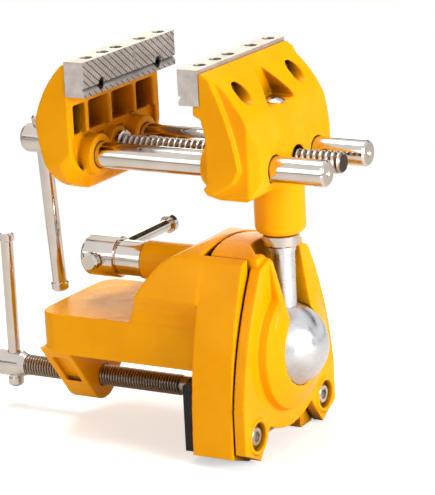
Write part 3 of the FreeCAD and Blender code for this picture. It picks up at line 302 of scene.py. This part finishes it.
def make_plain(name, light, deep, metal, rough, size):
    """A small part's finish: two close tones, an uneven shine and a fine grain."""
    material, tree, shader = surface(name, {"Metallic": metal})
    tree.links.new(mottle(tree, linear(light), linear(deep), size), shader.inputs["Base Color"])
    tree.links.new(mottle(tree, rough * 0.8, rough * 1.25, size / 2), shader.inputs["Roughness"])
    relief(tree, shader, mottle(tree, 0.0, 1.0, size / 4, 2), 0.01 * MM)
    return material


def finish_with(piece, *materials):
    """Give a piece its material, or a screw its hub's and its thread's."""
    faces = piece.data.polygons
    slots = [min(face.material_index, len(materials) - 1) for face in faces]
    piece.data.materials.clear()
    for material in materials:
        piece.data.materials.append(material)
    faces.foreach_set("material_index", slots)


def smooth(piece, degrees=40):
    """Shade smooth across edges flatter than the angle."""
    piece.data.shade_smooth()
    modifier = piece.modifiers.new("Sharp corners", "EDGE_SPLIT")
    modifier.split_angle = math.radians(degrees)


def thread_mesh(name, start, stop, radius, depth, pitch, runout, round_crest):
    """A helical ridge round the X line, with closed ends and a run-out at each end."""
    steps, rows_per_pitch = 48, 10
    rows = max(4, int((stop - start) / pitch * rows_per_pitch))
    verts, faces = [], []
    for row in range(rows + 1):
        along = start + (stop - start) * row / rows
        fade = min(1.0, (along - start) / runout, (stop - along) / runout)
        for step in range(steps):
            angle = 2 * math.pi * step / steps
            phase = ((along - start) / pitch - step / steps) % 1.0
            if round_crest:
                ridge = 0.5 + 0.5 * math.cos(2 * math.pi * phase)
                ridge = min(1.0, ridge * 1.25)
            else:
                ridge = abs(phase * 2 - 1)
                ridge = min(1.0, max(0.0, ridge * 1.25 - 0.1))
            reach = radius - depth * (1 - ridge)
            if row in (0, rows):
                reach = radius - depth
            elif fade < 1:
                reach = min(reach, radius - depth * (1 - max(0.0, fade)))
            verts.append((along, reach * math.cos(angle), reach * math.sin(angle)))
    for row in range(rows):
        for step in range(steps):
            beside = (step + 1) % steps
            faces.append((row * steps + step, row * steps + beside,
                          (row + 1) * steps + beside, (row + 1) * steps + step))
    faces.append(tuple(range(steps - 1, -1, -1)))
    faces.append(tuple(rows * steps + step for step in range(steps)))
    mesh = bpy.data.meshes.new(name)
    mesh.from_pydata(verts, [], faces)
    mesh.validate()
    return mesh


def screw_with_thread(node, axis, start, stop, radius, depth, pitch, runout, round_crest):
    """Stand a real thread in for the plain shank of a screw, keeping the node's other faces."""
    touch, overlap = 0.02 * MM, 0.4 * MM
    source = frame["nodes"][node]
    mesh = source.data.copy()
    work = bmesh.new()
    work.from_mesh(mesh)
    shank = []
    for face in work.faces:
        inside = True
        for vert in face.verts:
            out = math.hypot(vert.co.y - axis[0], vert.co.z - axis[1])
            if out > radius + touch or vert.co.x < start - touch or vert.co.x > stop + touch:
                inside = False
        if inside:
            shank.append(face)
    bmesh.ops.delete(work, geom=shank, context="FACES")
    thread = thread_mesh(f"{node} thread", start - overlap, stop, radius, depth, pitch, runout,
                         round_crest)
    thread.transform(Matrix.Translation((0, axis[0], axis[1])))
    kept = len(work.faces)
    work.from_mesh(thread)
    work.faces.ensure_lookup_table()
    for face in work.faces[kept:]:
        face.material_index = 1
    work.to_mesh(mesh)
    work.free()
    piece = bpy.data.objects.new(f"{node}_threaded", mesh)
    bpy.context.scene.collection.objects.link(piece)
    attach(piece, body_of(source)[0])
    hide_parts(node)
    return piece


class VISE_PG_colours(bpy.types.PropertyGroup):
    """Colours that a user would change."""
    enamel_light: bpy.props.StringProperty(
        name="Enamel, light", description="Lighter tone of the enamel", default="#FFAE00")
    enamel_deep: bpy.props.StringProperty(
        name="Enamel, deep", description="Deeper tone of the enamel", default="#F8A400")
    chrome: bpy.props.StringProperty(
        name="Chrome", description="Tone of the chrome plate", default="#D6CEC6")


class VISE_PG_sizes(bpy.types.PropertyGroup):
    """Sizes that a user would change."""
    cast_step: bpy.props.FloatProperty(
        name="Casting detail", description="Size of the casting's mesh squares",
        default=0.5 * MM, unit="LENGTH")
    cast_rounds: bpy.props.IntProperty(
        name="Edge rounding", description="Smoothing passes over the castings' edges", default=7)
    lead_pitch: bpy.props.FloatProperty(
        name="Lead screw pitch", description="Distance between the lead screw's ridges",
        default=3 * MM, unit="LENGTH")
    lead_depth: bpy.props.FloatProperty(
        name="Lead thread depth", description="Height of the lead screw's ridges",
        default=1.1 * MM, unit="LENGTH")
    clamp_pitch: bpy.props.FloatProperty(
        name="Clamp screw pitch", description="Distance between the clamp screw's ridges",
        default=1.5 * MM, unit="LENGTH")
    clamp_depth: bpy.props.FloatProperty(
        name="Clamp thread depth", description="Height of the clamp screw's ridges",
        default=0.85 * MM, unit="LENGTH")


class VISE_OT_castings(bpy.types.Operator):
    """Round the castings' edges and enamel them"""
    bl_idname = "vise.castings"
    bl_label = "Castings"

    def execute(self, context):
        sizes = context.scene.vise_sizes
        enamel = make_enamel(context.scene.vise_colours)
        for name in CASTINGS:
            casting = frame["nodes"][name]
            finish_with(casting, enamel)
            casting.data.shade_smooth()
            remesh = casting.modifiers.new("Casting skin", "REMESH")
            remesh.mode = "VOXEL"
            remesh.voxel_size = sizes.cast_step * 1
            remesh.use_smooth_shade = True
            rounding = casting.modifiers.new("Cast edges", "SMOOTH")
            rounding.factor = 0.5
            rounding.iterations = max(1, sizes.cast_rounds // (1))
        return {"FINISHED"}


class VISE_OT_plates(bpy.types.Operator):
    """Grind the jaw plates and hatch their grip faces"""
    bl_idname = "vise.plates"
    bl_label = "Jaw plates"

    def execute(self, context):
        for name in PLATES:
            low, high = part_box(name)
            facing = -1 if name.startswith("fixed") else 1
            plate = frame["nodes"][name]
            finish_with(plate, make_ground_steel(low.x if facing < 0 else high.x, low, high))
            smooth(plate, 30)
        return {"FINISHED"}


class VISE_OT_screws(bpy.types.Operator):
    """Cut the threads of the lead screw and the clamp screw"""
    bl_idname = "vise.screws"
    bl_label = "Lead and clamp screws"

    def execute(self, context):
        sizes = context.scene.vise_sizes
        radius = 5 * MM
        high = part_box("lead_screw")[1]
        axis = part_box("guide_rod_near")
        height = (axis[0].z + axis[1].z) / 2
        hub_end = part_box("moving_jaw")[0].x - 0.3 * MM
        lead = screw_with_thread("lead_screw", (0.0, height), hub_end, high.x, radius,
                                 sizes.lead_depth, sizes.lead_pitch, 1.2 * MM, True)
        hub = make_chrome("Chrome plate on a turned hub", context.scene.vise_colours.chrome, 0.14,
                          (0.3, 1, 1), 1 * MM)
        plated = make_thread_steel("Rolled trapezoidal thread, plated", "#C9BBAE", "#4C4038", 0.3,
                                   height, radius, sizes.lead_depth)
        finish_with(lead, hub, plated)
        hub_length, nose_length = 16.5 * MM, 2.8 * MM
        low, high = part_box("clamp_screw")
        clamp = screw_with_thread("clamp_screw", (0.0, 0.0), low.x + hub_length, high.x - nose_length,
                                  radius, sizes.clamp_depth, sizes.clamp_pitch, 1.0 * MM, False)
        steel = make_thread_steel("Rolled metric thread, oiled steel", "#C2B3A4", "#2E2722", 0.3,
                                  0.0, radius, sizes.clamp_depth)
        finish_with(clamp, hub, steel)
        for piece in (lead, clamp):
            smooth(piece, 42)
        finish_with(frame["nodes"]["clamp_tip"], steel)
        smooth(frame["nodes"]["clamp_tip"])
        return {"FINISHED"}


class VISE_OT_bars(bpy.types.Operator):
    """Plate the guide rods, handle bars, hub, collars and washers"""
    bl_idname = "vise.bars"
    bl_label = "Rods and handles"

    def execute(self, context):
        tint = context.scene.vise_colours.chrome
        along = make_chrome("Hard chrome plate on turned bar", tint, 0.09, (0.05, 1, 1), 0.8 * MM)
        upright = make_chrome("Bright chrome plate on drawn bar", tint, 0.1, (1, 1, 0.05), 0.8 * MM)
        for name in BRIGHT_BARS + ("lock_screw",):
            finish_with(frame["nodes"][name], along)
            smooth(frame["nodes"][name])
        for name in HANDLES:
            finish_with(frame["nodes"][name], upright)
            smooth(frame["nodes"][name])
        return {"FINISHED"}


class VISE_OT_ball(bpy.types.Operator):
    """Plate the ball and finish its seat"""
    bl_idname = "vise.ball"
    bl_label = "Ball and seat"

    def execute(self, context):
        satin = make_chrome("Satin chrome plate on a turned ball", "#DFE0E4", 0.31, (1, 1, 1), 2 * MM)
        finish_with(frame["nodes"]["ball_and_stem"], satin)
        smooth(frame["nodes"]["ball_and_stem"])
        seat = make_plain("Turned acetal", "#E9E6DC", "#DDD8CC", 0.0, 0.35, 4 * MM)
        finish_with(frame["nodes"]["ball_seat"], seat)
        smooth(frame["nodes"]["ball_seat"])
        return {"FINISHED"}


class VISE_OT_pad(bpy.types.Operator):
    """Finish the bench pad"""
    bl_idname = "vise.pad"
    bl_label = "Bench pad"

    def execute(self, context):
        finish_with(frame["nodes"]["bench_pad"], make_rubber())
        smooth(frame["nodes"]["bench_pad"])
        return {"FINISHED"}


class VISE_OT_fasteners(bpy.types.Operator):
    """Finish the socket screws, the bolt and the lead nut"""
    bl_idname = "vise.fasteners"
    bl_label = "Fasteners"

    def execute(self, context):
        plated = make_plain("Zinc-plated socket screw", "#D8D2C8", "#BDB5AA", 1.0, 0.22, 2 * MM)
        black = make_plain("Blackened socket screw", "#2A2726", "#1D1B1A", 0.9, 0.4, 2 * MM)
        brass = make_plain("Turned brass", "#C79A4E", "#B08340", 1.0, 0.3, 3 * MM)
        for names, material in ((PLATED_SCREWS, plated), (DARK_SCREWS, black), (("lead_nut",), brass)):
            for name in names:
                finish_with(frame["nodes"][name], material)
                smooth(frame["nodes"][name], 32)
        return {"FINISHED"}


class VISE_OT_stage(bpy.types.Operator):
    """Set the floor, the lights and the camera"""
    bl_idname = "vise.stage"
    bl_label = "Stage"

    def execute(self, context):
        scene = context.scene
        scene.view_settings.view_transform = "Standard"
        world = bpy.data.worlds.new("Soft studio")
        scene.world = world
        world.use_nodes = True
        tree = world.node_tree
        tree.nodes.clear()
        rays = add(tree, "ShaderNodeLightPath")
        seen = add(tree, "ShaderNodeMath", {"operation": "MAXIMUM"},
                   {0: rays.outputs["Is Camera Ray"], 1: rays.outputs["Is Transmission Ray"]})
        seen = add(tree, "ShaderNodeMath", {"operation": "MAXIMUM"},
                   {0: seen.outputs[0], 1: rays.outputs["Is Glossy Ray"]})
        fill = add(tree, "ShaderNodeBackground", {"Color": linear("#FFF6EA"), "Strength": 0.3})
        white = add(tree, "ShaderNodeBackground", {"Color": (1, 1, 1, 1), "Strength": 1.0})
        mix = add(tree, "ShaderNodeMixShader", {},
                  {0: seen.outputs[0], 1: fill.outputs[0], 2: white.outputs[0]})
        add(tree, "ShaderNodeOutputWorld", {}, {"Surface": mix.outputs[0]})
        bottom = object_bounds()[0][2]
        self.floor(bottom - 0.2 * MM)
        middle = Vector((0, 0, 0.06))
        self.lamp("Key", Vector((0.9, -0.2, 0.3)), middle, 0.5, 8.6)
        self.lamp("Top", Vector((-0.2, 0.1, 0.9)), middle, 0.5, 5.0)
        self.lamp("Back", Vector((-0.6, 0.85, 0.24)), middle, 0.6, 1.8, "#FFF1CE")
        self.lamp("Front fill", Vector((-0.35, -0.85, 0.35)), middle, 0.5, 1.1)
        self.flag("Flag, front left", Vector((-0.6, -1.0, 0.28)), middle, 1.0, 0.22)
        self.flag("Flag, left", Vector((-0.9, 0.25, 0.3)), middle, 0.35, 1.0)
        self.flag("Flag, right", Vector((1.0, 0.35, 0.3)), middle, 0.4, 1.0)
        self.flag("Flag, back", Vector((0.0, 1.1, 0.66)), middle, 2.2, 0.35)
        camera = bpy.data.objects.new("Camera", bpy.data.cameras.new("Camera"))
        scene.collection.objects.link(camera)
        camera.data.sensor_fit = "HORIZONTAL"
        camera.data.sensor_width = 36
        camera.data.lens = 221.954
        camera.data.clip_end = 20
        camera.location = (0.599187, -1.024082, 0.392620)
        camera.rotation_euler = [math.radians(turn) for turn in (74.75151, 2.78842, 29.70021)]
        scene.camera = camera
        camera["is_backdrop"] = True
        return {"FINISHED"}

    def floor(self, level):
        """A wide sheet of white paper under the vise."""
        mesh = bpy.data.meshes.new("Floor")
        reach = 6.0
        mesh.from_pydata([(-reach, -reach, level), (reach, -reach, level), (reach, reach, level),
                          (-reach, reach, level)], [], [(0, 1, 2, 3)])
        floor = bpy.data.objects.new("Floor", mesh)
        bpy.context.scene.collection.objects.link(floor)
        # white matt paper that keeps the shadow near the vise and runs out to plain white
        material, tree, shader = surface("White matt paper", {"Roughness": 0.9})
        shader.inputs["Base Color"].default_value = linear("#F4F2EF")
        shader.inputs["Specular IOR Level"].default_value = 0.1
        rays = add(tree, "ShaderNodeLightPath")
        glow = add(tree, "ShaderNodeEmission", {"Color": (1, 1, 1, 1), "Strength": 0.52})
        white = add(tree, "ShaderNodeEmission", {"Color": (1, 1, 1, 1), "Strength": 1.0})
        lifted = add(tree, "ShaderNodeAddShader", {}, {0: shader.outputs[0], 1: glow.outputs[0]})
        place = add(tree, "ShaderNodeTexCoord")
        away = add(tree, "ShaderNodeVectorMath", {"operation": "LENGTH"}, {0: place.outputs["Object"]})
        far = add(tree, "ShaderNodeMapRange", {"From Min": 0.12, "From Max": 0.4},
                  {"Value": away.outputs["Value"]})
        paper = add(tree, "ShaderNodeMixShader", {},
                    {0: far.outputs[0], 1: lifted.outputs[0], 2: white.outputs[0]})
        both = add(tree, "ShaderNodeMixShader", {},
                   {0: rays.outputs["Is Camera Ray"], 1: shader.outputs[0], 2: paper.outputs[0]})
        tree.links.new(both.outputs[0], tree.nodes["Material Output"].inputs["Surface"])
        finish_with(floor, material)
        floor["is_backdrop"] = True

    def flag(self, name, place, aim, wide, tall):
        """A dark card out of the picture, which the chrome mirrors."""
        mesh = bpy.data.meshes.new(name)
        mesh.from_pydata([(-wide / 2, -tall / 2, 0), (wide / 2, -tall / 2, 0), (wide / 2, tall / 2, 0),
                          (-wide / 2, tall / 2, 0)], [], [(0, 1, 2, 3)])
        card = bpy.data.objects.new(name, mesh)
        bpy.context.scene.collection.objects.link(card)
        card.location = place
        card.rotation_euler = (aim - place).to_track_quat("-Z", "Y").to_euler()
        material, tree, shader = surface(name, {"Roughness": 0.9})
        shader.inputs["Base Color"].default_value = linear("#3A2C24")
        finish_with(card, material)
        card.visible_camera = False
        card.visible_diffuse = False
        card.visible_shadow = False
        card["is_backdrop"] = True

    def lamp(self, name, place, aim, size, power, tint="#FFFFFF"):
        """A round soft light that faces the vise."""
        light = bpy.data.lights.new(name, "AREA")
        light.size = size
        light.shape = "DISK"
        light.energy = power
        light.color = linear(tint)[:3]
        lamp = bpy.data.objects.new(name, light)
        bpy.context.scene.collection.objects.link(lamp)
        lamp.location = place
        lamp.rotation_euler = (aim - place).to_track_quat("-Z", "Y").to_euler()
        lamp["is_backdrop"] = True


OPERATORS = (VISE_OT_castings, VISE_OT_plates, VISE_OT_screws, VISE_OT_bars, VISE_OT_ball,
             VISE_OT_pad, VISE_OT_fasteners, VISE_OT_stage)


class VISE_PT_panel(bpy.types.Panel):
    """Shows the vise's colours, sizes and finishing steps in the sidebar"""
    bl_idname = "VISE_PT_panel"
    bl_label = "Ball vise"
    bl_space_type = "VIEW_3D"
    bl_region_type = "UI"
    bl_category = "Ball vise"

    def draw(self, context):
        for group in (context.scene.vise_colours, context.scene.vise_sizes):
            for name in group.__annotations__:
                self.layout.prop(group, name)
        for operator in OPERATORS:
            self.layout.operator(operator.bl_idname)


CLASSES = (VISE_PG_colours, VISE_PG_sizes) + OPERATORS + (VISE_PT_panel,)


def register():
    for kind in CLASSES:
        bpy.utils.register_class(kind)
    bpy.types.Scene.vise_colours = bpy.props.PointerProperty(type=VISE_PG_colours)
    bpy.types.Scene.vise_sizes = bpy.props.PointerProperty(type=VISE_PG_sizes)


def unregister():
    del bpy.types.Scene.vise_sizes
    del bpy.types.Scene.vise_colours
    for kind in reversed(CLASSES):
        bpy.utils.unregister_class(kind)


def main():
    register()
    for operator in OPERATORS:
        area, name = operator.bl_idname.split(".")
        getattr(getattr(bpy.ops, area), name)()


if __name__ == "__main__":
    main()
